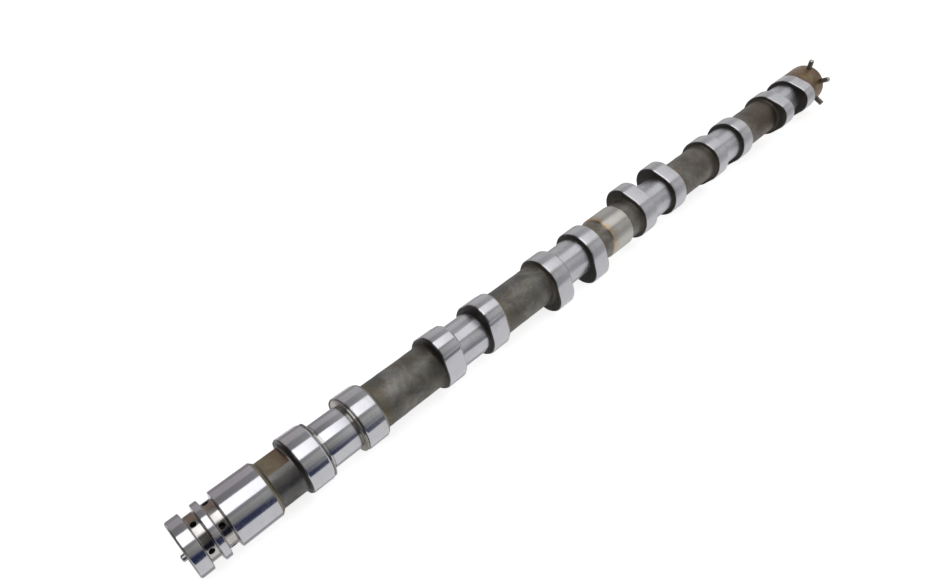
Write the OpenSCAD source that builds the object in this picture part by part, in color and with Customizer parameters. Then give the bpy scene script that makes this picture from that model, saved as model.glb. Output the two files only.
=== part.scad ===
// Camshaft of a large twin-cam inline-six with variable cam timing, one chilled iron casting.
// It lies as it comes to rest, on two lobes and its front end. X runs along the axis from the
// nose face to the rear, Z is up, and the origin is the centre of the nose face.
// Angles round the shaft start straight down and turn toward +Y.

/* [Cylinders] */
// Distance from one cylinder to the next
bore_pitch = 103.6; // [100:0.2:125]
// Distance between the two lobes of one cylinder, middle to middle
lobe_spacing = 40; // [34:0.5:46]
// Distance from the nose face to the ground face of the first lobe
first_lobe_x = 70; // [69:0.5:90]
// Angle of the first cylinder's lobe noses
first_lobe_angle = 76.25; // [0:0.25:360]

/* [Lobes] */
// Radius of the base circle
base_r = 18.5; // [18.3:0.1:21]
// Valve lift, from the base circle to the tip of the nose
lift = 5.3; // [3:0.1:9]
// Radius of the rounded nose
nose_r = 13.4; // [9:0.1:15]
// Width of the ground face
lobe_w = 13; // [9:0.5:17]
// Width of the bevel on each edge, along the shaft
lobe_bevel_w = 1.3; // [0.5:0.1:1.8]
// Depth of that bevel, toward the axis
lobe_bevel_h = 0.8; // [0.3:0.1:1.5]

/* [Shaft] */
// Radius of the rough shaft between cylinders
shaft_r = 15.2; // [14:0.1:15.4]
// Radius of the cast fillets beside the lobes
cast_fillet_r = 2.3; // [1:0.1:2.7]
// Radius of the bearing journals between the lobes of each pair
journal_r = 14.75; // [13.5:0.05:16]
// Radius of the ground fillets at the ends of the journals
journal_fillet_r = 1; // [0.3:0.1:2]
// Radius of the plain band between the third and fourth cylinders
band_r = 16.4; // [15.8:0.1:18]
// Width of that band
band_w = 23.8; // [10:0.1:30]
// Gap from the sixth lobe to the band
band_gap = 11.1; // [5:0.1:14]
// Chamfer on the band's edges
band_chamfer = 0.8; // [0.2:0.1:0.9]

/* [Thrust journal] */
// Radius of the two collars that hold the shaft endways
thrust_r = 18; // [16.5:0.1:18.2]
// Width of each collar
thrust_w = 1; // [0.5:0.1:2]
// Radius at the floor of the grinding reliefs beside the collars
relief_r = 14.2; // [12.5:0.1:14.6]
// Width of each relief
relief_w = 2; // [1:0.1:3]

/* [Front journal] */
// Radius of the front journal and of the oil seal lands before it
front_r = 17.5; // [16.5:0.1:20]
// Length of the front journal
front_journal_w = 24.9; // [15:0.1:30]
// Length of the cone behind the front journal
front_cone_w = 2.5; // [1:0.1:5]
// Radius of the wrench section behind the cone
wrench_r = 15.1; // [14.6:0.1:16]
// Size across the two wrench flats
wrench_flats = 25.6; // [23:0.1:28]
// Angle of the wrench flats
wrench_angle = 170.3; // [0:0.1:180]
// Plain length between the cone and the wrench flats
wrench_lead = 0.4; // [0.2:0.1:3]
// Plain length between the wrench flats and the first lobe
wrench_end = 1; // [0.2:0.1:3]

/* [Nose] */
// Chamfer at the edge of the nose face
nose_chamfer = 0.9; // [0.3:0.1:2]
// Width of the land before the first oil groove
front_land_w = 8; // [6.5:0.1:12]
// Width of the land between the oil grooves
middle_land_w = 3.9; // [2:0.1:8]
// Radius at the floor of the oil grooves
groove_r = 14.15; // [13.5:0.05:16]
// Width of the floor of each oil groove
groove_w = 4.4; // [3.8:0.1:7]
// Run of each groove's front wall, along the shaft
groove_front_run = 0.6; // [0.2:0.1:1.5]
// Run of each groove's sloping rear wall, along the shaft
groove_rear_run = 1.5; // [0.5:0.1:2.5]

/* [Oil ways] */
// Number of radial oil holes in each groove
oil_hole_count = 5; // [3:1:5]
// Diameter of the radial oil holes
oil_hole_d = 3.5; // [2:0.1:3.6]
// Angle of the first hole in the front groove
front_hole_angle = 186.8; // [0:0.1:360]
// Angle of the first hole in the rear groove
rear_hole_angle = 154.3; // [0:0.1:360]
// Diameter of the ports that lead from the front groove to the nose face
port_d = 3.6; // [2:0.1:3.8]
// Radius of the circle that the ports lie on
port_pitch_r = 10; // [9.2:0.1:10.5]

/* [Nose bolt and dowel] */
// Diameter of the oil bore that the nose bolt passes through
oil_bore_d = 13.5; // [12.5:0.1:14]
// Depth of that bore from the nose face
oil_bore_depth = 30; // [28:0.5:34]
// Core diameter of the bolt thread behind it
thread_core_d = 10.2; // [8.5:0.1:11.5]
// Depth of the thread behind the oil bore
thread_depth = 26; // [15:0.5:40]
// Chamfer at the mouth of the oil bore
mouth_chamfer = 0.8; // [0.3:0.1:1]
// Diameter of the dowel in the nose face
dowel_d = 4; // [3:0.1:4.2]
// How far the dowel stands out of the nose face
dowel_proud = 2.3; // [1:0.1:6]
// Depth of the dowel's hole
dowel_depth = 6; // [4:0.1:6.2]
// Distance of the dowel from the axis
dowel_pitch_r = 12.5; // [12:0.1:13]
// Angle of the dowel
dowel_angle = 233.3; // [228:0.1:238]

/* [Rear end] */
// Radius of the rear end
rear_r = 18.2; // [16:0.1:18.2]
// Length of the rear end behind the last lobe
rear_w = 28.2; // [15:0.1:40]
// Chamfer at the rear end
rear_chamfer = 1; // [0.3:0.1:2]
// Diameter of the trigger pins that the position sensor reads
pin_d = 4.5; // [3:0.1:5.5]
// Distance of the trigger pins' middle from the rear face
pin_inset = 4.5; // [4:0.1:10]
// Distance of the pins' tips from the axis
pin_tip_r = 26; // [21:0.1:32]
// Depth of the pins in their holes
pin_depth = 8; // [4:0.1:9]
// Angle of the first trigger pin
pin_1_angle = 188.3; // [180:0.1:200]
// Angle of the second trigger pin
pin_2_angle = 243.3; // [230:0.1:260]
// Angle of the third trigger pin
pin_3_angle = 301.3; // [290:0.1:320]
// Chamfer on the tips of the pins and the dowel
tip_chamfer = 0.5; // [0.1:0.1:0.8]
// Diameter of the centre drilling in the rear face
centre_d = 8; // [4:0.1:10]
// Depth of the centre drilling's cone
centre_depth = 4; // [2:0.1:6]

/* [Hidden] */
$fn = 120;
// Cuts start this far outside the surface that they open
cut = 1;
// Each part of a lobe lies this far inside the surfaces of the one before, so that none coincide
lobe_step = 0.01;

// The cylinders fire in this order, evenly over one turn of the camshaft
firing_order = [1, 5, 3, 6, 2, 4];
cylinders = len(firing_order);
last = cylinders - 1;
firing_step = 360 / cylinders;

// Stations along the nose
front_groove_x = front_land_w;
groove_total_w = groove_front_run + groove_w + groove_rear_run;
rear_groove_x = front_groove_x + groove_total_w + middle_land_w;
front_journal_x = rear_groove_x + groove_total_w;
front_cone_x = front_journal_x + front_journal_w;
wrench_x = front_cone_x + front_cone_w;
thread_end = oil_bore_depth + thread_depth;

// Stations along the lobe train, a lobe being measured over its bevels
function pair_x(cylinder) = first_lobe_x + cylinder * bore_pitch;
function lobe_front(cylinder, lobe) = pair_x(cylinder) + lobe * lobe_spacing - lobe_bevel_w;
function lobe_rear(cylinder, lobe) = pair_x(cylinder) + lobe * lobe_spacing + lobe_w + lobe_bevel_w;
function firing_place(cylinder) = search(cylinder + 1, firing_order)[0];
function lobe_angle(cylinder) = first_lobe_angle - firing_place(cylinder) * firing_step;
band_x = lobe_rear(2, 1) + band_gap;
rear_x = lobe_rear(last, 1);
rear_face_x = rear_x + rear_w;
pin_x = rear_face_x - pin_inset;

// A lobe is the base circle and the nose circle joined by two tangent flanks
nose_offset = base_r + lift - nose_r;
flank_angle = acos((base_r - nose_r) / nose_offset);
flank_length = nose_offset * sin(flank_angle);

// Turns the Z axis of what is drawn into the shaft's axis, at a station along it
module at_station(x) translate([x, 0, 0]) rotate([0, 90, 0]) children();

// Points the Z axis of what is drawn outward from the shaft's axis
module outward(x, angle) at_station(x) rotate([0, 0, angle]) rotate([0, 90, 0]) children();

// Half section of a turned length, with [length, height] of the chamfer at each end
module turned(x0, x1, r, front = [0, 0], rear = [0, 0])
    polygon([
        [0, x0],
        [r - front[1], x0],
        [r, x0 + front[0]],
        [r, x1 - rear[0]],
        [r - rear[1], x1],
        [0, x1],
    ]);

// Half section of a root fillet that leaves a face at x toward +X or -X
module root_fillet(x, r, fillet_r, side)
    translate([0, side > 0 ? x : x - fillet_r])
        difference() {
            square([r + fillet_r, fillet_r]);
            translate([r + fillet_r, side > 0 ? fillet_r : 0]) circle(fillet_r);
        }

// Half section of a shaft length between two faces, with a root fillet at each end
module filleted(x0, x1, r, fillet_r) {
    turned(x0, x1, r);
    root_fillet(x0, r, fillet_r, 1);
    root_fillet(x1, r, fillet_r, -1);
}

// Half section of an oil groove, as the metal that stays under it
module groove_floor(x)
    polygon([
        [0, x],
        [front_r, x],
        [groove_r, x + groove_front_run],
        [groove_r, x + groove_front_run + groove_w],
        [front_r, x + groove_total_w],
        [0, x + groove_total_w],
    ]);

module nose_section() {
    turned(0, front_groove_x, front_r, front = [nose_chamfer, nose_chamfer]);
    groove_floor(front_groove_x);
    turned(front_groove_x + groove_total_w, rear_groove_x, front_r);
    groove_floor(rear_groove_x);
    turned(front_journal_x, wrench_x, front_r, rear = [front_cone_w, front_r - wrench_r]);
    turned(wrench_x, lobe_front(0, 0), wrench_r);
    root_fillet(lobe_front(0, 0), wrench_r, cast_fillet_r, -1);
}

// The first journal runs between two thrust collars, each with a grinding relief. A collar
// starts under the lobe's bevel, so that the bevel runs down onto it.
module thrust_journal_section() {
    x0 = lobe_rear(0, 0);
    x1 = lobe_front(0, 1);
    turned(x0 - lobe_bevel_w, x0 + thrust_w, thrust_r);
    turned(x0 + thrust_w, x0 + thrust_w + relief_w, relief_r);
    turned(x0 + thrust_w + relief_w, x1 - thrust_w - relief_w, journal_r);
    turned(x1 - thrust_w - relief_w, x1 - thrust_w, relief_r);
    turned(x1 - thrust_w, x1 + lobe_bevel_w, thrust_r);
}

module plain_journal_section(cylinder)
    filleted(lobe_rear(cylinder, 0), lobe_front(cylinder, 1), journal_r, journal_fillet_r);

module shaft_section(cylinder)
    filleted(lobe_rear(cylinder, 1), lobe_front(cylinder + 1, 0), shaft_r, cast_fillet_r);

module band_section()
    turned(band_x, band_x + band_w, band_r, [band_chamfer, band_chamfer], [band_chamfer, band_chamfer]);

module rear_section()
    turned(rear_x - lobe_bevel_w, rear_face_x, rear_r, rear = [rear_chamfer, rear_chamfer]);

// Half section of a lobe of radius r with bevelled edges, its front face at x
module lobe_section(x, r, inset = 0)
    turned(x + inset, x + lobe_w + 2 * lobe_bevel_w - inset, r,
        [lobe_bevel_w, lobe_bevel_h], [lobe_bevel_w, lobe_bevel_h]);

// The metal under one flank, between its two tangent lines
module flank()
    rotate([0, 0, flank_angle]) rotate([90, 0, 0])
        linear_extrude(flank_length) lobe_section(0, base_r - 2 * lobe_step, 2 * lobe_step);

// What a lobe adds to its base circle, which is turned with the body
module lobe_nose(cylinder, lobe)
    at_station(lobe_front(cylinder, lobe)) rotate([0, 0, lobe_angle(cylinder)]) {
        translate([nose_offset, 0, 0]) rotate([0, 0, 180])
            rotate_extrude() lobe_section(0, nose_r - lobe_step, lobe_step);
        flank();
        mirror([0, 1, 0]) flank();
    }

module turned_body()
    at_station(0) rotate_extrude() {
        nose_section();
        thrust_journal_section();
        for (cylinder = [1:last]) plain_journal_section(cylinder);
        for (cylinder = [0:last - 1]) shaft_section(cylinder);
        for (cylinder = [0:last], lobe = [0, 1]) lobe_section(lobe_front(cylinder, lobe), base_r);
        band_section();
        rear_section();
    }

// Two opposite flats that hold the shaft while the nose bolt is tightened
module wrench_cuts() {
    length = lobe_front(0, 0) - wrench_end - wrench_x - wrench_lead;
    for (side = [0, 180])
        outward(wrench_x + wrench_lead, wrench_angle + side)
            translate([-length, -front_r, wrench_flats / 2]) cube([length, 2 * front_r, front_r]);
}

// Stepped bore on the axis: oil bore, then the thread's core
module nose_bore()
    at_station(0) rotate_extrude()
        polygon([
            [0, -cut],
            [oil_bore_d / 2 + mouth_chamfer + cut, -cut],
            [oil_bore_d / 2, mouth_chamfer],
            [oil_bore_d / 2, oil_bore_depth],
            [thread_core_d / 2, oil_bore_depth],
            [thread_core_d / 2, thread_end],
            [0, thread_end + thread_core_d / 4],
        ]);

// A ring of radial oil holes from a groove's floor in to radius r
module oil_holes(groove_x, angle, r)
    for (hole = [0:oil_hole_count - 1])
        outward(groove_x + groove_front_run + groove_w / 2, angle + hole * 360 / oil_hole_count)
            translate([0, 0, r]) cylinder(d = oil_hole_d, h = front_r - r);

// The front groove's oil reaches the nose face, the rear groove's reaches the bore
module oil_ways() {
    port_end = front_groove_x + groove_front_run + groove_w / 2 + oil_hole_d;
    for (hole = [0:oil_hole_count - 1])
        at_station(-cut)
            rotate([0, 0, front_hole_angle + hole * 360 / oil_hole_count])
                translate([port_pitch_r, 0, 0]) cylinder(d = port_d, h = port_end + cut);
    oil_holes(front_groove_x, front_hole_angle, port_pitch_r);
    oil_holes(rear_groove_x, rear_hole_angle, oil_bore_d / 4);
}

module centre_drilling()
    at_station(rear_face_x) mirror([0, 0, 1]) rotate_extrude()
        polygon([[0, -cut], [centre_d / 2, -cut], [centre_d / 2, 0], [0, centre_depth]]);

// Pressed pin of length h from its seat, with a chamfered tip and a straight foot
module pressed_pin(d, h)
    rotate_extrude() turned(0, h, d / 2, rear = [tip_chamfer, tip_chamfer]);

module dowel_place()
    at_station(dowel_depth) rotate([0, 0, dowel_angle]) translate([dowel_pitch_r, 0, 0])
        mirror([0, 0, 1]) children();

module pin_place(angle) outward(pin_x, angle) translate([0, 0, rear_r - pin_depth]) children();

module camshaft() color([0.66, 0.66, 0.67])
    difference() {
        union() {
            turned_body();
            for (cylinder = [0:last], lobe = [0, 1]) lobe_nose(cylinder, lobe);
        }
        wrench_cuts();
        nose_bore();
        oil_ways();
        centre_drilling();
        dowel_place() cylinder(d = dowel_d, h = dowel_depth + cut);
        for (angle = [pin_1_angle, pin_2_angle, pin_3_angle])
            pin_place(angle) cylinder(d = pin_d, h = pin_depth + cut);
    }

module nose_dowel() color([0.62, 0.61, 0.60]) dowel_place() pressed_pin(dowel_d, dowel_depth + dowel_proud);

module trigger_pin(angle)
    color([0.45, 0.43, 0.40]) pin_place(angle) pressed_pin(pin_d, pin_depth + pin_tip_r - rear_r);

camshaft();
nose_dowel();
trigger_pin(pin_1_angle);  // trigger_pin_1
trigger_pin(pin_2_angle);  // trigger_pin_2
trigger_pin(pin_3_angle);  // trigger_pin_3
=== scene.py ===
import math

import bpy
from mathutils import Euler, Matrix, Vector, noise


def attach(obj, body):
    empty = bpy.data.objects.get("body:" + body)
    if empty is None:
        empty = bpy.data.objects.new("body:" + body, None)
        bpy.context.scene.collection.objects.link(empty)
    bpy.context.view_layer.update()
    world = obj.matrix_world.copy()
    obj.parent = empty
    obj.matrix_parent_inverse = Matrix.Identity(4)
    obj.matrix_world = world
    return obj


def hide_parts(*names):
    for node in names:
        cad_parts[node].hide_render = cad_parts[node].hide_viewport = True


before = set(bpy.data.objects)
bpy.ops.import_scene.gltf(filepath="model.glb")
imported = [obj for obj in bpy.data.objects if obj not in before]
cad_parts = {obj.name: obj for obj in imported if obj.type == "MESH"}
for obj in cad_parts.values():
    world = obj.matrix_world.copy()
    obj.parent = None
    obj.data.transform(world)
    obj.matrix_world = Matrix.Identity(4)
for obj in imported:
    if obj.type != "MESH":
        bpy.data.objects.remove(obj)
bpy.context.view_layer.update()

MM = 0.001

# Sizes, in millimetres
# The same values as the part's source, measured along the shaft from the nose face. Only the rear
# walls of the two nose grooves are steeper here, which makes the grooves' floors longer.
BORE_PITCH = 103.6
LOBE_SPACING = 40.0
FIRST_LOBE_X = 70.0
FIRST_LOBE_ANGLE = 76.25
FIRING_ORDER = (1, 5, 3, 6, 2, 4)

BASE_R = 18.5
LIFT = 5.3
NOSE_R = 13.4
LOBE_W = 13.0
BEVEL_W = 1.3
BEVEL_H = 0.8

SHAFT_R = 15.2
CAST_FILLET = 2.3
JOURNAL_R = 14.75
JOURNAL_FILLET = 1.0
BAND_R = 16.4
BAND_W = 23.8
BAND_GAP = 11.1
BAND_CHAMFER = 0.8

THRUST_R = 18.0
THRUST_W = 1.0
RELIEF_R = 14.2
RELIEF_W = 2.0

FRONT_R = 17.5
NOSE_CHAMFER = 0.9
GROOVE_R = 14.15
GROOVE_1_X = 8.0
GROOVE_2_X = 18.4
GROOVE_FRONT = 0.6
GROOVE_W = 5.1
GROOVE_REAR = 0.8
CONE_X = 49.8
WRENCH_X = 52.3
WRENCH_R = 15.1
FLAT_AT = 12.8
FLAT_ANGLE = 170.3
FLAT_LEAD = 0.4
FLAT_END = 1.0

BORE_R = 6.75
BORE_DEPTH = 30.0
THREAD_R = 5.1
THREAD_END = 56.0
THREAD_PITCH = 1.75
THREAD_HEIGHT = 0.7
THREAD_LEAD = 0.6
THREAD_LENGTH = 12.0
THREAD_STEPS = 4
MOUTH_CHAMFER = 0.8
HOLE_COUNT = 5
HOLE_R = 1.75
PORT_R = 1.8
PORT_PITCH_R = 10.0
PORT_END = 14.3
FRONT_HOLE_X = 10.8
FRONT_HOLE_ANGLE = 186.8
REAR_HOLE_X = 21.2
REAR_HOLE_ANGLE = 154.3

DOWEL_R = 2.0
DOWEL_PITCH_R = 12.5
DOWEL_ANGLE = 233.3
DOWEL_DEPTH = 6.0
DOWEL_PROUD = 2.3
REAR_R = 18.2
REAR_W = 28.2
REAR_CHAMFER = 1.0
PIN_R = 2.25
PIN_INSET = 4.5
PIN_TIP_R = 26.0
PIN_DEPTH = 8.0
PIN_ANGLES = (188.3, 243.3, 301.3)
TIP_CHAMFER = 0.5
CENTRE_R = 4.0
CENTRE_DEPTH = 4.0

CYLINDERS = len(FIRING_ORDER)
NOSE_OFFSET = BASE_R + LIFT - NOSE_R
FLANK_ANGLE = math.acos((BASE_R - NOSE_R) / NOSE_OFFSET)

# Small radii that real edges have, too fine for the solid
GROUND_EDGE = 0.12
NOSE_EDGE = 0.35
GROOVE_EDGE = 0.5
GROOVE_ROOT = 0.3

# How much of a lobe's front bevel is painted near black as painted shade, for the first and the second lobe
# of a pair
SHADED_BEVEL_SHARE = (0.62, 0.45)

# Zones of the shaft, one material each
GROUND, LOBE, BEVEL, SHADED_SIDE, CAST, WRENCH, BAND, REAR, GROOVE, INNER, FACE, FLAT, CONE, RIM, CHANNEL, \
    SHADED_BEVEL, SHADED_CONE_FOOT = range(17)


def lobe_front(cylinder, lobe):
    return FIRST_LOBE_X + cylinder * BORE_PITCH + lobe * LOBE_SPACING - BEVEL_W


def lobe_rear(cylinder, lobe):
    return lobe_front(cylinder, lobe) + LOBE_W + 2 * BEVEL_W


def lobe_angle(cylinder):
    place = FIRING_ORDER.index(cylinder + 1)
    return math.radians(FIRST_LOBE_ANGLE - place * 360.0 / CYLINDERS)


BAND_X = lobe_rear(2, 1) + BAND_GAP
REAR_X = lobe_rear(CYLINDERS - 1, 1)
REAR_FACE = REAR_X + REAR_W
PIN_X = REAR_FACE - PIN_INSET


# Outlines round the axis
def around(angle, radius):
    """The y and z of a point at an angle from straight down, turning toward +Y."""
    return math.sin(angle) * radius, -math.cos(angle) * radius


def round_outline(r):
    return lambda angle: r


def lobe_outline(cylinder, drop):
    """Radius of a lobe's outline, moved in by drop all round."""
    base, nose, middle = BASE_R - drop, NOSE_R - drop, lobe_angle(cylinder)
    tangent = math.atan2(nose * math.sin(FLANK_ANGLE), NOSE_OFFSET + nose * math.cos(FLANK_ANGLE))

    def radius(angle):
        off = abs((angle - middle + math.pi) % (2 * math.pi) - math.pi)
        if off >= FLANK_ANGLE:
            return base
        if off >= tangent:
            return base / math.cos(FLANK_ANGLE - off)
        return NOSE_OFFSET * math.cos(off) + math.sqrt(nose ** 2 - (NOSE_OFFSET * math.sin(off)) ** 2)

    return radius


def flat_outline(r):
    """A circle with the two wrench flats cut off it."""
    normal = math.radians(FLAT_ANGLE)

    def radius(angle):
        across = abs(math.cos(angle - normal))
        return min(r, FLAT_AT / across) if across > 0.1 else r

    return radius


# The shaft's rings
ANGLE_STEPS = 180
corner = math.acos(FLAT_AT / WRENCH_R)
flat_corners = [math.radians(FLAT_ANGLE + turn) + side * corner for turn in (0, 180) for side in (-1, 1)]
angles = sorted({round(a % (2 * math.pi), 6)
                 for a in [i * 2 * math.pi / ANGLE_STEPS for i in range(ANGLE_STEPS)] + flat_corners})

rings = []  # (x, outline, zone of the strip that ends here, roughness of the casting)


def ring(x, outline, zone, rough=0.0):
    rings.append((x, outline if callable(outline) else round_outline(outline), zone, rough))


def edge(x, outline_at, into, out, zone_in, zone_out, soft, steps=2):
    """A softened edge. into and out are (dx, dr) unit directions of the two surfaces that meet at it."""
    for i in range(steps + 1):
        t = i / steps
        a, b = (1 - t) ** 2 * soft, t ** 2 * soft
        dx = -into[0] * a + out[0] * b
        dr = -into[1] * a + out[1] * b
        ring(x + dx, outline_at(dr), zone_in if i == 0 else zone_out)


def round_edge(x, r, into, out, zone_in, zone_out, soft=GROUND_EDGE, steps=2):
    edge(x, lambda dr: round_outline(r + dr), into, out, zone_in, zone_out, soft, steps)


UP, DOWN, ALONG = (0.0, 1.0), (0.0, -1.0), (1.0, 0.0)


def slope(dx, dr):
    length = math.hypot(dx, dr)
    return dx / length, dr / length


def fillet(x, r, size, side, zone, rough=0.0, steps=5, near_face=None):
    """Root fillet from a face at x to the shaft of radius r. side is 1 where the shaft follows the face."""
    order = range(steps + 1) if side > 0 else range(steps, -1, -1)
    for i in order:
        t = math.radians(90.0 * i / steps)
        here = SHADED_SIDE if side > 0 and i == 0 else zone
        if near_face is not None and i < steps - 1:  # all but the two rings next to the shaft
            here = near_face
        ring(x + side * size * (1 - math.cos(t)), r + size * (1 - math.sin(t)), here, rough * math.sin(t))


def cast_length(x0, x1, r, zone, step=2.2):
    """A rough length, with rings close enough together to carry the casting's unevenness."""
    count = max(int((x1 - x0) / step), 1)
    for i in range(1, count):
        t = i / count
        ring(x0 + t * (x1 - x0), r, zone, min(1.0, 6 * min(t, 1 - t)))


def add_lobe(cylinder, lobe):
    x0, x1 = lobe_front(cylinder, lobe), lobe_rear(cylinder, lobe)
    bevel = slope(BEVEL_W, BEVEL_H)

    def at(drop):
        return lambda dr: lobe_outline(cylinder, drop - dr)

    # the front part of the bevel is painted shade
    edge(x0, at(BEVEL_H), UP, bevel, SHADED_SIDE, SHADED_BEVEL, GROUND_EDGE)
    part = SHADED_BEVEL_SHARE[lobe]
    ring(x0 + part * BEVEL_W, lobe_outline(cylinder, (1 - part) * BEVEL_H), SHADED_BEVEL)
    edge(x0 + BEVEL_W, at(0.0), bevel, ALONG, LOBE, LOBE, GROUND_EDGE)
    rear = BEVEL if lobe else LOBE
    edge(x1 - BEVEL_W, at(0.0), ALONG, (bevel[0], -bevel[1]), LOBE, rear, GROUND_EDGE)
    edge(x1, at(BEVEL_H), (bevel[0], -bevel[1]), DOWN, rear, rear, GROUND_EDGE)


def add_groove(x):
    top, floor = FRONT_R, GROOVE_R
    front, rear = slope(GROOVE_FRONT, floor - top), slope(GROOVE_REAR, top - floor)
    x1 = x + GROOVE_FRONT
    x2 = x1 + GROOVE_W
    x3 = x2 + GROOVE_REAR
    round_edge(x, top, ALONG, front, GROUND, GROOVE, GROOVE_EDGE, 5)
    round_edge(x1, floor, front, ALONG, GROOVE, GROOVE, 0.3)
    round_edge(x2, floor, ALONG, rear, CHANNEL, GROOVE, GROOVE_ROOT, 6)
    round_edge(x3, top, rear, ALONG, GROOVE, GROUND, GROOVE_EDGE, 5)


def add_nose():
    chamfer = slope(NOSE_CHAMFER, NOSE_CHAMFER)
    round_edge(0.0, FRONT_R - NOSE_CHAMFER, UP, chamfer, FACE, BEVEL, NOSE_EDGE, 4)
    round_edge(NOSE_CHAMFER, FRONT_R, chamfer, ALONG, BEVEL, GROUND, NOSE_EDGE, 4)
    add_groove(GROOVE_1_X)
    add_groove(GROOVE_2_X)
    cone = slope(WRENCH_X - CONE_X, WRENCH_R - FRONT_R)
    round_edge(CONE_X, FRONT_R, ALONG, cone, GROUND, CONE, NOSE_EDGE, 4)
    ring((CONE_X + WRENCH_X) / 2, (FRONT_R + WRENCH_R) / 2, CONE)
    # the cone's rear half, by the wrench section, is a darker copy of its finish: painted shade in that
    # corner
    round_edge(WRENCH_X, WRENCH_R, cone, ALONG, SHADED_CONE_FOOT, SHADED_CONE_FOOT, 0.2)
    flat0, flat1 = WRENCH_X + FLAT_LEAD, lobe_front(0, 0) - FLAT_END
    ring(flat0, WRENCH_R, WRENCH)
    ring(flat0, flat_outline(WRENCH_R), WRENCH)
    ring(flat1, flat_outline(WRENCH_R), WRENCH)
    ring(flat1, WRENCH_R + 0.3, WRENCH)
    # all but the foot of this fillet takes the lobe sides' painted shade
    fillet(lobe_front(0, 0), WRENCH_R, CAST_FILLET, -1, WRENCH, near_face=SHADED_SIDE)


def add_thrust_journal():
    x0, x1 = lobe_rear(0, 0), lobe_front(0, 1)
    r0 = x0 + THRUST_W
    r1 = r0 + RELIEF_W
    r3 = x1 - THRUST_W
    r2 = r3 - RELIEF_W
    ring(x0, THRUST_R, BEVEL)
    round_edge(r0, THRUST_R, ALONG, DOWN, BEVEL, GROUND)
    round_edge(r0, RELIEF_R, DOWN, ALONG, GROUND, GROOVE, 0.4)
    round_edge(r1, RELIEF_R, ALONG, UP, GROOVE, GROOVE, 0.2)
    round_edge(r1, JOURNAL_R, UP, ALONG, GROOVE, GROUND)
    round_edge(r2, JOURNAL_R, ALONG, DOWN, GROUND, GROOVE)
    # the rear relief's floor takes the darker bevel finish, as painted shade in that recess
    round_edge(r2, RELIEF_R, DOWN, ALONG, GROOVE, BEVEL, 0.2)
    round_edge(r3, RELIEF_R, ALONG, UP, BEVEL, BEVEL, 0.4)
    round_edge(r3, THRUST_R, UP, ALONG, RIM, BEVEL)
    ring(x1, THRUST_R, BEVEL)


def add_plain_journal(cylinder):
    x0, x1 = lobe_rear(cylinder, 0), lobe_front(cylinder, 1)
    fillet(x0, JOURNAL_R, JOURNAL_FILLET, 1, GROOVE, steps=4)
    ring(x1 - JOURNAL_FILLET - GROUND_EDGE, JOURNAL_R, GROUND)
    # the fillet into the next lobe takes the lobe sides' painted shade
    fillet(x1, JOURNAL_R, JOURNAL_FILLET, -1, SHADED_SIDE, steps=4)


def add_band():
    rise = slope(BAND_CHAMFER, BAND_CHAMFER)
    x0, x1 = BAND_X, BAND_X + BAND_W
    round_edge(x0, SHAFT_R, ALONG, UP, CAST, BAND, 0.3)
    round_edge(x0, BAND_R - BAND_CHAMFER, UP, rise, BAND, BAND)
    round_edge(x0 + BAND_CHAMFER, BAND_R, rise, ALONG, BAND, BAND)
    round_edge(x1 - BAND_CHAMFER, BAND_R, ALONG, (rise[0], -rise[1]), BAND, BAND)
    round_edge(x1, BAND_R - BAND_CHAMFER, (rise[0], -rise[1]), DOWN, BAND, BAND)
    round_edge(x1, SHAFT_R, DOWN, ALONG, BAND, CAST, 0.3)


def add_shaft(cylinder):
    x0, x1 = lobe_rear(cylinder, 1), lobe_front(cylinder + 1, 0)
    fillet(x0, SHAFT_R, CAST_FILLET, 1, CAST, 1.0)
    start, end = x0 + CAST_FILLET, x1 - CAST_FILLET
    if start < BAND_X < end:
        cast_length(start, BAND_X, SHAFT_R, CAST)
        add_band()
        cast_length(BAND_X + BAND_W, end, SHAFT_R, CAST)
    else:
        cast_length(start, end, SHAFT_R, CAST)
    fillet(x1, SHAFT_R, CAST_FILLET, -1, CAST, 1.0)


def add_rear_end():
    ring(REAR_X, REAR_R, BEVEL)
    ring(REAR_X + GROUND_EDGE, REAR_R, REAR)
    drop = slope(REAR_CHAMFER, -REAR_CHAMFER)
    round_edge(REAR_FACE - REAR_CHAMFER, REAR_R, ALONG, drop, REAR, RIM)
    round_edge(REAR_FACE, REAR_R - REAR_CHAMFER, drop, DOWN, RIM, REAR)
    cone = slope(-CENTRE_DEPTH, -CENTRE_R)
    round_edge(REAR_FACE, CENTRE_R, DOWN, cone, REAR, INNER)


def add_bore():
    """The bore, from the thread's blind end out to the nose face."""
    ring(THREAD_END, THREAD_R, INNER)
    count = int(THREAD_LENGTH / THREAD_PITCH * THREAD_STEPS)
    for i in range(count, -1, -1):
        x = BORE_DEPTH + THREAD_LEAD + i * THREAD_PITCH / THREAD_STEPS

        def thread(angle, x=x):
            phase = (x / THREAD_PITCH - angle / (2 * math.pi)) % 1.0
            return THREAD_R + THREAD_HEIGHT * abs(2 * phase - 1)

        ring(x, thread, INNER)
    round_edge(BORE_DEPTH, THREAD_R + THREAD_HEIGHT, (-1.0, 0.0), UP, INNER, INNER)
    round_edge(BORE_DEPTH, BORE_R, UP, (-1.0, 0.0), INNER, INNER)
    mouth = slope(-MOUTH_CHAMFER, MOUTH_CHAMFER)
    round_edge(MOUTH_CHAMFER, BORE_R, (-1.0, 0.0), mouth, INNER, BEVEL)
    round_edge(0.0, BORE_R + MOUTH_CHAMFER, mouth, UP, BEVEL, FACE)


add_bore()
add_nose()
for c in range(CYLINDERS):
    add_lobe(c, 0)
    if c == 0:
        add_thrust_journal()
    else:
        add_plain_journal(c)
    add_lobe(c, 1)
    if c < CYLINDERS - 1:
        add_shaft(c)
add_rear_end()


CAST_RELIEF = 0.16


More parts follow.
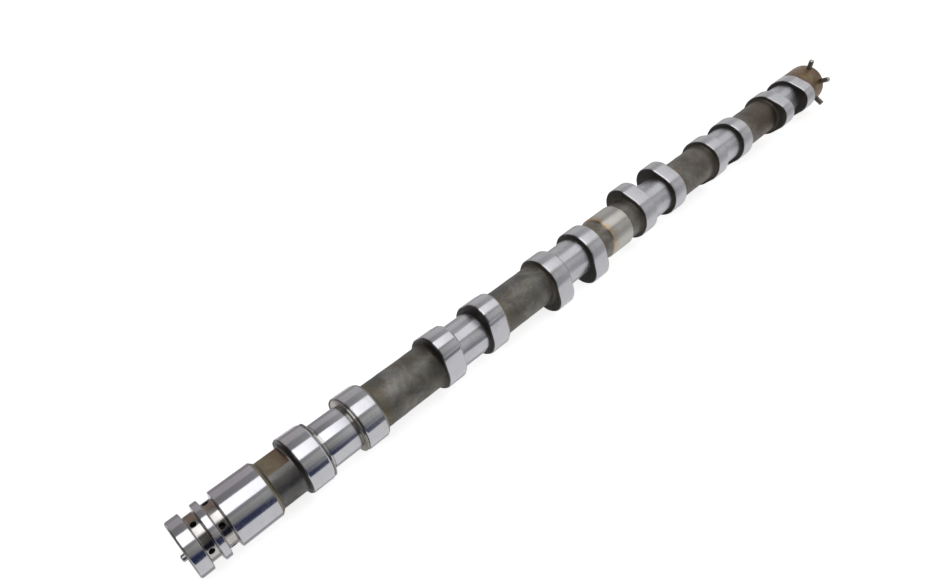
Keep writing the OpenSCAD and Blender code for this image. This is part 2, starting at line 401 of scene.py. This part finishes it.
def cast_rise(x, y, z, rough):
    """How far the casting's skin stands above its nominal surface."""
    if not rough:
        return 0.0
    p = Vector((x, y, z))
    return rough * CAST_RELIEF * (noise.noise(p * 0.16) + 0.5 * noise.noise(p * 0.45) - 0.35)


def shaft_mesh():
    verts, faces, zones = [], [], []
    count = len(angles)
    for x, outline, zone, rough in rings:
        for a in angles:
            r = outline(a)
            y, z = around(a, r)
            r += cast_rise(x, y, z, rough)
            y, z = around(a, r)
            verts.append((x * MM, y * MM, z * MM))
    for i in range(len(rings) - 1):
        for j in range(count):
            k = (j + 1) % count
            a, b = i * count, (i + 1) * count
            faces.append((a + j, b + j, b + k, a + k))
            x, outline, zone = rings[i + 1][:3]
            if zone == WRENCH:
                middle = angles[j] + (angles[k] - angles[j]) % (2 * math.pi) / 2
                zone = FLAT if outline(middle) < WRENCH_R - 0.02 else WRENCH
            zones.append(zone)
    # the thread's blind end and the centre drilling's point close the two ends
    for first, x, zone in ((0, THREAD_END + THREAD_R / 2, INNER),
                           ((len(rings) - 1) * count, REAR_FACE - CENTRE_DEPTH, INNER)):
        tip = len(verts)
        verts.append((x * MM, 0.0, 0.0))
        for j in range(count):
            k = (j + 1) % count
            faces.append((tip, first + j, first + k) if first == 0 else (first + j, tip, first + k))
            zones.append(zone)
    mesh = bpy.data.meshes.new("camshaft_skin")
    mesh.from_pydata(verts, [], faces)
    mesh.polygons.foreach_set("material_index", zones)
    mesh.update()
    return mesh


def new_object(name, mesh):
    obj = bpy.data.objects.new(name, mesh)
    bpy.context.scene.collection.objects.link(obj)
    return obj


# Holes
def rod(verts, faces, start, end, r, sides=32):
    """Adds a closed cylinder between two points, in millimetres."""
    start, end = Vector(start), Vector(end)
    axis = (end - start).normalized()
    u = axis.orthogonal().normalized()
    v = axis.cross(u)
    first = len(verts)
    for p in (start, end):
        for i in range(sides):
            t = 2 * math.pi * i / sides
            q = p + r * (math.cos(t) * u + math.sin(t) * v)
            verts.append(tuple(q * MM))
    for i in range(sides):
        k = (i + 1) % sides
        faces.append((first + i, first + k, first + sides + k, first + sides + i))
    faces.append(tuple(first + i for i in reversed(range(sides))))
    faces.append(tuple(first + sides + i for i in range(sides)))


def radial(x, angle, r0, r1):
    return [(x,) + around(angle, r) for r in (r0, r1)]


def along_axis(x0, x1, angle, r):
    return [(x,) + around(angle, r) for x in (x0, x1)]


def cutters():
    """The holes in two sets that don't touch within a set, so that each cuts cleanly."""
    ports, holes, seats = [], [], []
    for i in range(HOLE_COUNT):
        turn = 2 * math.pi * i / HOLE_COUNT
        front = math.radians(FRONT_HOLE_ANGLE) + turn
        rear = math.radians(REAR_HOLE_ANGLE) + turn
        ports.append((*along_axis(-1.0, PORT_END, front, PORT_PITCH_R), PORT_R))
        holes.append((*radial(FRONT_HOLE_X, front, PORT_PITCH_R, FRONT_R), HOLE_R))
        holes.append((*radial(REAR_HOLE_X, rear, BORE_R / 2, FRONT_R), HOLE_R))
    seats.append((*along_axis(-1.0, DOWEL_DEPTH, math.radians(DOWEL_ANGLE), DOWEL_PITCH_R), DOWEL_R))
    for angle in PIN_ANGLES:
        seats.append((*radial(PIN_X, math.radians(angle), REAR_R - PIN_DEPTH, REAR_R + 1.0), PIN_R))
    return ports + seats, holes


def cut(obj, rods):
    verts, faces = [], []
    for start, end, r in rods:
        rod(verts, faces, start, end, r)
    mesh = bpy.data.meshes.new("cutter")
    mesh.from_pydata(verts, [], faces)
    mesh.polygons.foreach_set("material_index", [INNER] * len(faces))
    tool = new_object("cutter", mesh)
    boolean = obj.modifiers.new("cut", "BOOLEAN")
    boolean.operation = "DIFFERENCE"
    boolean.solver = "EXACT"
    boolean.material_mode = "INDEX"
    boolean.object = tool
    done = bpy.data.meshes.new_from_object(obj.evaluated_get(bpy.context.evaluated_depsgraph_get()))
    obj.modifiers.clear()
    obj.data = done
    bpy.data.objects.remove(tool)


# Pins
def turned_pin(name, place, stations):
    """A turned pin, from pairs of distance and radius. place maps a distance and two offsets to a point."""
    sides = 48
    verts, faces = [], []
    for d, r in stations:
        for i in range(sides):
            t = 2 * math.pi * i / sides
            verts.append(tuple(place(d, r * math.cos(t), r * math.sin(t)) * MM))
    for i in range(len(stations) - 1):
        for j in range(sides):
            k = (j + 1) % sides
            faces.append((i * sides + j, i * sides + k, (i + 1) * sides + k, (i + 1) * sides + j))
    faces.append(tuple(reversed(range(sides))))
    faces.append(tuple((len(stations) - 1) * sides + j for j in range(sides)))
    mesh = bpy.data.meshes.new(name)
    mesh.from_pydata(verts, [], faces)
    mesh.update()
    finish_shading(mesh)
    return new_object(name, mesh)


def finish_shading(mesh, angle=28.0):
    mesh.validate()
    for p in mesh.polygons:
        p.use_smooth = True
    mesh.set_sharp_from_angle(angle=math.radians(angle))


def pin_stations(r, length, tip, soft=0.12):
    """Straight shank with a chamfered tip, its edges a little rounded."""
    shoulder = length - tip
    return [(0.0, r), (shoulder - soft, r), (shoulder, r - 0.03), (shoulder + soft, r - soft),
            (length - soft, r - tip + soft / 2), (length - 0.03, r - tip - 0.05),
            (length, r - tip - soft - 0.05)]


def outward_place(x, angle, r0):
    axis = Vector((0.0,) + around(angle, 1.0))
    side = Vector((1.0, 0.0, 0.0))
    other = axis.cross(side)
    return lambda d, u, v: Vector((x, 0.0, 0.0)) + axis * (r0 + d) + side * u + other * v


def forward_place(x0, angle, r):
    centre = Vector((x0,) + around(angle, r))
    return lambda d, u, v: centre + Vector((-d, u, -v))


# Material helpers
class Nodes:
    """Short names for building one material's nodes."""

    def __init__(self, name):
        self.material = bpy.data.materials.new(name)
        self.material.use_nodes = True
        self.tree = self.material.node_tree
        self.shader = self.tree.nodes["Principled BSDF"]
        self.coords = self.tree.nodes.new("ShaderNodeTexCoord").outputs["Object"]

    def node(self, kind, inputs=None, **settings):
        made = self.tree.nodes.new(kind)
        for key, value in settings.items():
            setattr(made, key, value)
        for key, value in (inputs or {}).items():
            self.put(made.inputs[key], value)
        return made

    def put(self, socket, value):
        if isinstance(value, bpy.types.NodeSocket):
            self.tree.links.new(value, socket)
        else:
            socket.default_value = value

    def scaled(self, scale):
        return self.node("ShaderNodeMapping", {"Vector": self.coords, "Scale": scale}).outputs["Vector"]

    def noise(self, scale, detail=4.0, stretch=(1, 1, 1), rough=0.55, distortion=0.0):
        where = self.coords if stretch == (1, 1, 1) else self.scaled(stretch)
        return self.node("ShaderNodeTexNoise", {
            "Vector": where, "Scale": scale, "Detail": detail, "Roughness": rough,
            "Distortion": distortion}).outputs["Fac"]

    def ramp(self, value, low, high, to_low=0.0, to_high=1.0):
        return self.node("ShaderNodeMapRange", {
            "Value": value, "From Min": low, "From Max": high, "To Min": to_low, "To Max": to_high},
            clamp=True).outputs["Result"]

    def math(self, operation, a, b):
        return self.node("ShaderNodeMath", {0: a, 1: b}, operation=operation).outputs[0]

    def mix(self, factor, a, b):
        made = self.node("ShaderNodeMix", data_type="RGBA")
        self.put(made.inputs["Factor"], factor)
        self.put(made.inputs["A"], a)
        self.put(made.inputs["B"], b)
        return made.outputs["Result"]

    def bump(self, height, distance, strength=1.0, normal=None):
        made = self.node("ShaderNodeBump", {"Height": height, "Distance": distance, "Strength": strength})
        if normal is not None:
            self.put(made.inputs["Normal"], normal)
        return made.outputs["Normal"]

    def set(self, **values):
        for key, value in values.items():
            self.put(self.shader.inputs[key.replace("_", " ")], value)

    def x(self):
        return self.node("ShaderNodeSeparateXYZ", {"Vector": self.coords}).outputs["X"]

    def facing(self, angle, r):
        """How far a point at radius r, in millimetres, lies toward an angle in degrees: 1 where it does."""
        toward = (0.0,) + around(math.radians(angle), 1.0 / (r * MM))
        return self.node("ShaderNodeVectorMath", {0: self.coords, 1: toward},
                         operation="DOT_PRODUCT").outputs["Value"]


def rgb(r, g, b):
    return (r, g, b, 1.0)


# Where the grinding turns from bright to satin, in millimetres from the nose
SATIN_FROM = 190.0
SATIN_TO = 290.0
# How much farther the ground surfaces blur along the shaft than round it
SPREAD = 0.9


def ground_metal(name, colour, stain, bright=0.185, satin=0.26, lines=1.0, stains=0.3, edge_stain=None,
                 sides=False):
    """Ground iron: fine lines round the shaft, faint handling stains, more satin away from the nose."""
    n = Nodes(name)
    fine = n.noise(5200.0, 3.0, (1.0, 0.01, 0.01))
    broad = n.noise(420.0, 4.0, (1.0, 0.05, 0.05))
    cloud = n.noise(55.0, 5.0)
    spots = n.noise(260.0, 6.0, rough=0.7)
    amount = n.math("MULTIPLY", n.ramp(cloud, 0.46, 0.72), n.ramp(spots, 0.40, 0.68))
    base = n.mix(n.math("MULTIPLY", amount, stains), colour, stain)
    shade = n.mix(n.ramp(broad, 0.25, 0.8, 0.0, 0.07), base, rgb(0.24, 0.235, 0.235))
    if sides:
        for angle, low, high, tone in GROOVE_STAINS:
            shade = n.mix(n.ramp(n.facing(angle, GROOVE_R), low, high, 0.0, 0.8), shade, rgb(*tone))
    if edge_stain:
        fading = n.ramp(n.x(), (BAND_X + 1.0) * MM, (BAND_X + 7.5) * MM, 0.75, 0.0)
        shade = n.mix(n.math("MULTIPLY", fading, n.ramp(cloud, 0.36, 0.56)), shade, edge_stain)
    along = n.ramp(n.x(), SATIN_FROM * MM, SATIN_TO * MM, bright, satin)
    rough = n.math("ADD", n.math("MULTIPLY", along, n.ramp(fine, 0.2, 0.8, 0.8, 1.25)),
                   n.math("MULTIPLY", amount, 0.12))
    n.set(Base_Color=shade, Metallic=1.0, Roughness=rough, Anisotropic=SPREAD, Anisotropic_Rotation=0.25,
          Normal=n.bump(fine, 0.0000015 * lines, 0.4, n.bump(broad, 0.0000025 * lines, 0.4)),
          Tangent=n.node("ShaderNodeTangent", direction_type="RADIAL", axis="X").outputs[0])
    return n.material


# Oil stains on the groove floors: angle round the shaft, cosines where they begin and are full, colour
GROOVE_STAINS = (
    (157.0, 0.84, 0.95, (0.15, 0.105, 0.06)),
    (234.0, 0.91, 0.97, (0.05, 0.045, 0.045)),
)

# Where painted shade starts on the wrench flat, darker and redder toward the first lobe, in millimetres
# from the nose
FLAT_SHADE_FROM = 57.5

# Where the casting's skin turns browner, in millimetres from the nose
BROWN_FROM = 400.0
BROWN_TO = 560.0
FAR_BROWN = rgb(0.092, 0.066, 0.045)

# Oil baked onto the casting behind each pair of lobes, and painted shade on the casting just before each
# pair
OIL_YELLOW = rgb(0.20, 0.155, 0.075)
PAINTED_SHADE_BEFORE_LOBES = rgb(0.045, 0.036, 0.026)


def cast_metal(name, colour, light, brown, roughness=0.5, relief=0.00012, rust_from=0.52,
               beside_lobes=False, lobe_shade_tint=None):
    """Cast skin: fine sand grain, mottled and a little rusty."""
    n = Nodes(name)
    grain = n.noise(1500.0, 6.0, rough=0.65)
    lumps = n.noise(330.0, 5.0)
    patch = n.noise(60.0, 5.0, distortion=0.6)
    rust = n.noise(120.0, 6.0, rough=0.7)
    base = n.mix(n.ramp(patch, 0.40, 0.66), colour, light)
    base = n.mix(n.ramp(rust, rust_from, rust_from + 0.2, 0.0, 0.7), base, brown)
    if beside_lobes:
        along = n.math("MULTIPLY", n.math("FLOORED_MODULO", n.math(
            "SUBTRACT", n.x(), lobe_front(0, 0) * MM), BORE_PITCH * MM), 1 / MM)
        behind = LOBE_SPACING + LOBE_W + 2 * BEVEL_W
        far = n.math("MULTIPLY", n.ramp(n.x(), BROWN_FROM * MM, BROWN_TO * MM, 0.0, 0.85),
                     n.ramp(along, behind + 3.0, behind + 17.0))
        base = n.mix(far, base, FAR_BROWN)
        just_behind = n.ramp(along, behind + 1.0, behind + 9.0, 1.0, 0.0)
        stain = n.math("MULTIPLY", just_behind, n.ramp(rust, 0.35, 0.6))
        base = n.mix(n.math("MULTIPLY", stain, 0.7), base, OIL_YELLOW)
        # painted shade: the casting darkens over its last 9 mm before the next pair of lobes
        shade_before_lobes = n.ramp(along, BORE_PITCH - 9.0, BORE_PITCH - 1.0, 0.0, 0.8)
        base = n.mix(shade_before_lobes, base, PAINTED_SHADE_BEFORE_LOBES)
    # painted shade: darker and redder toward the first lobe's face
    if lobe_shade_tint:
        base = n.mix(n.ramp(n.x(), FLAT_SHADE_FROM * MM, lobe_front(0, 0) * MM, 0.0, 0.8), base, lobe_shade_tint)
    base = n.mix(n.ramp(grain, 0.35, 0.7, 0.35, 0.0), base, rgb(0.02, 0.02, 0.02))
    rough = n.ramp(lumps, 0.3, 0.75, roughness * 0.8, roughness * 1.25)
    n.set(Base_Color=base, Metallic=0.75, Roughness=rough,
          Normal=n.bump(grain, relief, 0.6, n.bump(lumps, relief * 2.2, 0.7)))
    return n.material


def inner_metal(name):
    n = Nodes(name)
    grain = n.noise(900.0, 4.0)
    n.set(Base_Color=n.mix(grain, rgb(0.05, 0.047, 0.045), rgb(0.12, 0.11, 0.10)),
          Metallic=0.8, Roughness=n.ramp(grain, 0.3, 0.7, 0.35, 0.6), Normal=n.bump(grain, 0.00003, 0.5))
    return n.material


materials = {
    GROUND: ground_metal("ground_journal", rgb(0.43, 0.43, 0.455), rgb(0.24, 0.20, 0.16)),
    LOBE: ground_metal("ground_lobe", rgb(0.43, 0.43, 0.45), rgb(0.24, 0.20, 0.16), 0.19, 0.28, 1.5),
    BEVEL: ground_metal("turned_bevel", rgb(0.22, 0.215, 0.20), rgb(0.16, 0.12, 0.09), 0.27, 0.35, 1.5),
    # the lobes' side faces and the fillets into them: dark cast skin, painted near black as painted shade
    SHADED_SIDE: cast_metal("lobe_side_painted_shade", rgb(0.030, 0.028, 0.026), rgb(0.055, 0.050, 0.044),
                     rgb(0.06, 0.04, 0.022)),
    CAST: cast_metal("cast_shaft", rgb(0.122, 0.118, 0.105), rgb(0.250, 0.243, 0.222),
                     rgb(0.125, 0.09, 0.055), relief=0.00010, rust_from=0.48, beside_lobes=True),
    WRENCH: cast_metal("wrench_section", rgb(0.095, 0.092, 0.088), rgb(0.14, 0.135, 0.13),
                       rgb(0.09, 0.075, 0.055), 0.34, 0.00002),
    # the wrench flat: warm brown, partly its own tone and partly painted reflection of warm surroundings,
    # with painted shade toward the first lobe
    FLAT: cast_metal("wrench_flat", rgb(0.215, 0.178, 0.11), rgb(0.26, 0.22, 0.145), rgb(0.18, 0.12, 0.07),
                     0.5, 0.00003, rust_from=0.46, lobe_shade_tint=rgb(0.17, 0.105, 0.075)),
    CONE: cast_metal("wrench_cone", rgb(0.25, 0.225, 0.155), rgb(0.30, 0.28, 0.22), rgb(0.2, 0.15, 0.08),
                     0.42, 0.00003),
    # the cone's rear half: painted shade
    SHADED_CONE_FOOT: cast_metal("wrench_cone_foot_painted_shade", rgb(0.115, 0.10, 0.07), rgb(0.15, 0.135, 0.10),
                          rgb(0.1, 0.08, 0.05), 0.42, 0.00003),
    BAND: ground_metal("turned_band", rgb(0.42, 0.41, 0.38), rgb(0.32, 0.22, 0.10), 0.3, 0.34, 2.0, 0.35,
                       edge_stain=rgb(0.36, 0.25, 0.13)),
    REAR: cast_metal("rear_end", rgb(0.145, 0.088, 0.034), rgb(0.245, 0.175, 0.10), rgb(0.185, 0.08, 0.02),
                     0.5, 0.00006, 0.46),
    RIM: ground_metal("rear_rim", rgb(0.30, 0.28, 0.25), rgb(0.2, 0.14, 0.09), 0.4, 0.4, 2.0, 0.6),
    # the front bevels' painted shade
    SHADED_BEVEL: ground_metal("lobe_bevel_painted_shade", rgb(0.055, 0.052, 0.048), rgb(0.06, 0.045, 0.03), 0.36, 0.4, 1.5),
    GROOVE: ground_metal("groove_wall", rgb(0.40, 0.385, 0.38), rgb(0.14, 0.07, 0.06),
                         0.22, 0.35, 2.5, 0.8),
    CHANNEL: ground_metal("groove_floor", rgb(0.43, 0.42, 0.405), rgb(0.20, 0.16, 0.12), 0.2, 0.2, 2.0, 0.6,
                          sides=True),
    INNER: inner_metal("bore_wall"),
    FACE: ground_metal("nose_face", rgb(0.42, 0.415, 0.41), rgb(0.24, 0.2, 0.16), 0.24, 0.24, 2.0),
}

# Pieces
camshaft = new_object("camshaft_body", shaft_mesh())
for zone in sorted(materials):
    camshaft.data.materials.append(materials[zone])
for rods in cutters():
    cut(camshaft, rods)
finish_shading(camshaft.data)
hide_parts("camshaft")
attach(camshaft, "root")

pin_metal = ground_metal("pin_steel_dull", rgb(0.13, 0.115, 0.10), rgb(0.11, 0.07, 0.045),
                         0.4, 0.4, 1.0, 0.8)
tip_metal = ground_metal("pin_tip", rgb(0.45, 0.43, 0.39), rgb(0.28, 0.2, 0.13), 0.36, 0.36, 1.0, 0.6)
dowel_metal = ground_metal("dowel_steel", rgb(0.27, 0.27, 0.28), rgb(0.17, 0.14, 0.12),
                           0.24, 0.24, 1.0, 0.5)

for number, angle in enumerate(PIN_ANGLES, 1):
    pin = turned_pin("sensor_pin_%d" % number,
                     outward_place(PIN_X, math.radians(angle), REAR_R - PIN_DEPTH),
                     pin_stations(PIN_R, PIN_DEPTH + PIN_TIP_R - REAR_R, TIP_CHAMFER))
    pin.data.materials.append(pin_metal)
    pin.data.materials.append(tip_metal)
    for p in pin.data.polygons:
        if Vector((0.0,) + tuple(p.center)[1:]).length > (PIN_TIP_R - TIP_CHAMFER - 0.2) * MM:
            p.material_index = 1
    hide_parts("trigger_pin_%d" % number)
    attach(pin, "root")

dowel = turned_pin("locating_dowel", forward_place(DOWEL_DEPTH, math.radians(DOWEL_ANGLE), DOWEL_PITCH_R),
                   pin_stations(DOWEL_R, DOWEL_DEPTH + DOWEL_PROUD, TIP_CHAMFER))
dowel.data.materials.append(dowel_metal)
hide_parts("nose_dowel")
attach(dowel, "root")

# Floor, studio, camera
# The three places that the shaft rests on: x, y, z
FLOOR_POINTS = ((70.0, 0.0, -18.5), (510.0, 2.9, -23.38), (303.0, -7.2, -20.9))
FLOOR_HALF = 6000.0
FLOOR_GLOW = 0.79
ROOM_LIGHT = 0.28


def floor_height():
    """The plane through the three places that the shaft rests on, as z = a + b x + c y."""
    (x1, y1, z1), (x2, y2, z2), (x3, y3, z3) = FLOOR_POINTS
    det = (x2 - x1) * (y3 - y1) - (x3 - x1) * (y2 - y1)
    b = ((z2 - z1) * (y3 - y1) - (z3 - z1) * (y2 - y1)) / det
    c = ((x2 - x1) * (z3 - z1) - (x3 - x1) * (z2 - z1)) / det
    return lambda x, y: z1 + b * (x - x1) + c * (y - y1)


def light_path_white(tree):
    """A factor that is 1 for camera, glossy and transmission rays."""
    path = tree.nodes.new("ShaderNodeLightPath")
    total = path.outputs["Is Camera Ray"]
    for other in ("Is Glossy Ray", "Is Transmission Ray"):
        add = tree.nodes.new("ShaderNodeMath")
        add.operation = "MAXIMUM"
        tree.links.new(total, add.inputs[0])
        tree.links.new(path.outputs[other], add.inputs[1])
        total = add.outputs[0]
    return total


def make_floor():
    height = floor_height()
    mesh = bpy.data.meshes.new("floor")
    corners = [(sx * FLOOR_HALF, sy * FLOOR_HALF) for sx, sy in ((-1, -1), (1, -1), (1, 1), (-1, 1))]
    mesh.from_pydata([(x * MM, y * MM, height(x, y) * MM) for x, y in corners], [], [(0, 1, 2, 3)])
    floor = new_object("floor", mesh)
    material = bpy.data.materials.new("white_table")
    material.use_nodes = True
    tree = material.node_tree
    shader = tree.nodes["Principled BSDF"]
    shader.inputs["Base Color"].default_value = rgb(0.78, 0.78, 0.79)
    shader.inputs["Roughness"].default_value = 0.9
    shader.inputs["Specular IOR Level"].default_value = 0.0
    glow = tree.nodes.new("ShaderNodeEmission")
    glow.inputs["Color"].default_value = rgb(1.0, 1.0, 1.0)
    strength = tree.nodes.new("ShaderNodeMath")
    strength.operation = "MULTIPLY"
    tree.links.new(light_path_white(tree), strength.inputs[0])
    strength.inputs[1].default_value = FLOOR_GLOW
    tree.links.new(strength.outputs[0], glow.inputs["Strength"])
    both = tree.nodes.new("ShaderNodeAddShader")
    tree.links.new(shader.outputs[0], both.inputs[0])
    tree.links.new(glow.outputs[0], both.inputs[1])
    tree.links.new(both.outputs[0], tree.nodes["Material Output"].inputs["Surface"])
    mesh.materials.append(material)


def make_world():
    world = bpy.data.worlds.new("studio")
    bpy.context.scene.world = world
    world.use_nodes = True
    tree = world.node_tree
    background = tree.nodes["Background"]
    background.inputs["Color"].default_value = rgb(1.0, 1.0, 1.0)
    strength = tree.nodes.new("ShaderNodeMapRange")
    strength.inputs["To Min"].default_value = ROOM_LIGHT
    strength.inputs["To Max"].default_value = 1.0
    tree.links.new(light_path_white(tree), strength.inputs["Value"])
    tree.links.new(strength.outputs["Result"], background.inputs["Strength"])


# The cards that the ground surfaces reflect: a tent round the shaft, by its radius and its length
CARD_R = 1500.0
CARD_X = (-1600.0, 5000.0)
PALE = (0.92, 0.92, 0.92)
DIM = (0.74, 0.74, 0.75)
FADE = (0.0, 1300.0)
BLUE = (0.035, 0.045, 0.115)
BLUE_FADE = (70.0, 430.0)


def arc(low, high):
    """An arc of the tent, by its angles above the table from the camera's side over to the far side."""
    steps = max(int((high - low) / 4), 2)
    turns = [math.radians(low + (high - low) * i / steps) for i in range(steps + 1)]
    return [(-math.cos(t) * CARD_R, math.sin(t) * CARD_R) for t in turns]


# Name, outline across the shaft, extent along it, light near the nose, light farther on, where it changes
CARDS = (
    ("blue_strip", [(-92.0, -24.0), (-92.0, 28.0)], (-150.0, 13.0), BLUE, DIM, BLUE_FADE),
    ("blue_strip_mid", [(-107.0, -24.0), (-107.0, 30.0)], (13.0, 72.0), BLUE, DIM, BLUE_FADE),
    ("blue_strip_low", [(-101.0, -24.0), (-101.0, 14.0)], (72.0, 900.0), BLUE, DIM, BLUE_FADE),
    ("front_low", arc(4.0, 20.0), CARD_X, (0.17, 0.18, 0.21), DIM, FADE),
    ("front_mid", arc(20.0, 33.0), CARD_X, (0.35, 0.35, 0.325), PALE, FADE),
    ("front_upper", arc(33.0, 46.0), CARD_X, (0.47, 0.46, 0.425), PALE, FADE),
    ("front_top", arc(46.0, 59.0), CARD_X, (0.33, 0.33, 0.33), DIM, FADE),
    ("overhead", arc(59.0, 103.0), (-1600.0, 2300.0), (2.7, 2.7, 2.75), (1.2, 1.2, 1.2), FADE),
    ("back_top", arc(103.0, 136.0), CARD_X, (0.31, 0.30, 0.30), DIM, FADE),
    ("back_mid", arc(136.0, 186.0), CARD_X, (0.60, 0.55, 0.57), PALE, FADE),
    ("neighbour", [(55.0, 18.0), (55.0, -22.0)], (-20.0, 680.0), (0.40, 0.38, 0.40), (0.62, 0.62, 0.62),
     (60.0, 350.0)),
)


END_X = -900.0
END_Y = (-1450.0, 1450.0)
END_Z = (-60.0, 1500.0)
END_LIGHT = (0.10, 0.095, 0.09)


def make_card(name, outline, extent, near, far, fade):
    verts = [(x * MM, y * MM, z * MM) for y, z in outline for x in extent]
    faces = [(2 * i, 2 * i + 1, 2 * i + 3, 2 * i + 2) for i in range(len(outline) - 1)]
    show_card(name, verts, faces, near, far, fade)


def make_end_card():
    """The dark end of the room, which faces that look toward the nose reflect."""
    verts = [(END_X * MM, y * MM, z * MM) for z in END_Z for y in END_Y]
    show_card("dark_end", verts, [(0, 1, 3, 2)], END_LIGHT, END_LIGHT, FADE)


# The table right under the shaft, in its shade: from x, to x, from y, to y, light
SHADE = ((-4.0, 64.0, -19.5, 20.0, 0.5), (64.0, 674.0, -17.2, 20.0, 0.58))
SHADE_LIFT = 0.3


def make_contact_shade():
    """The shade under the shaft, which its lowest visible surfaces reflect."""
    height = floor_height()
    for number, (x0, x1, y0, y1, light) in enumerate(SHADE, 1):
        verts = [(x * MM, y * MM, (height(x, y) + SHADE_LIFT) * MM) for y in (y0, y1) for x in (x0, x1)]
        show_card("contact_shade_%d" % number, verts, [(0, 1, 3, 2)], (light,) * 3, (light,) * 3, FADE)


def show_card(name, verts, faces, near, far, fade):
    mesh = bpy.data.meshes.new(name)
    mesh.from_pydata(verts, [], faces)
    card = new_object(name, mesh)
    n = Nodes(name + "_light")
    glow = n.node("ShaderNodeEmission")
    n.put(glow.inputs["Color"], n.mix(n.ramp(n.x(), fade[0] * MM, fade[1] * MM), rgb(*near), rgb(*far)))
    n.put(n.tree.nodes["Material Output"].inputs["Surface"], glow.outputs[0])
    mesh.materials.append(n.material)
    card.visible_camera = False
    card.visible_diffuse = False
    card.visible_shadow = False


SOFTBOX_X = (-600.0, 900.0)
SOFTBOX_Y = (-505.0, 236.0)
SOFTBOX_Z = 880.0
SOFTBOX_POWER = 2.2


def make_softbox():
    light = bpy.data.lights.new("softbox", "AREA")
    light.shape = "RECTANGLE"
    light.size = (SOFTBOX_X[1] - SOFTBOX_X[0]) * MM
    light.size_y = (SOFTBOX_Y[1] - SOFTBOX_Y[0]) * MM
    light.energy = SOFTBOX_POWER
    lamp = new_object("softbox", light)
    lamp.location = (sum(SOFTBOX_X) / 2 * MM, sum(SOFTBOX_Y) / 2 * MM, SOFTBOX_Z * MM)
    lamp.visible_glossy = False


def make_camera():
    data = bpy.data.cameras.new("camera")
    data.sensor_fit = "HORIZONTAL"
    data.sensor_width = 36.0
    data.lens = 26.686
    data.clip_start = 0.01
    camera = new_object("camera", data)
    camera.location = (-0.0022675, -0.2594527, 0.3171165)
    camera.rotation_euler = Euler([math.radians(a) for a in (49.6357, 5.5985, -44.3574)], "XYZ")
    bpy.context.scene.camera = camera


make_floor()
make_world()
for card in CARDS:
    make_card(*card)
make_end_card()
make_contact_shade()
make_softbox()
make_camera()
bpy.context.scene.view_settings.view_transform = "Standard"
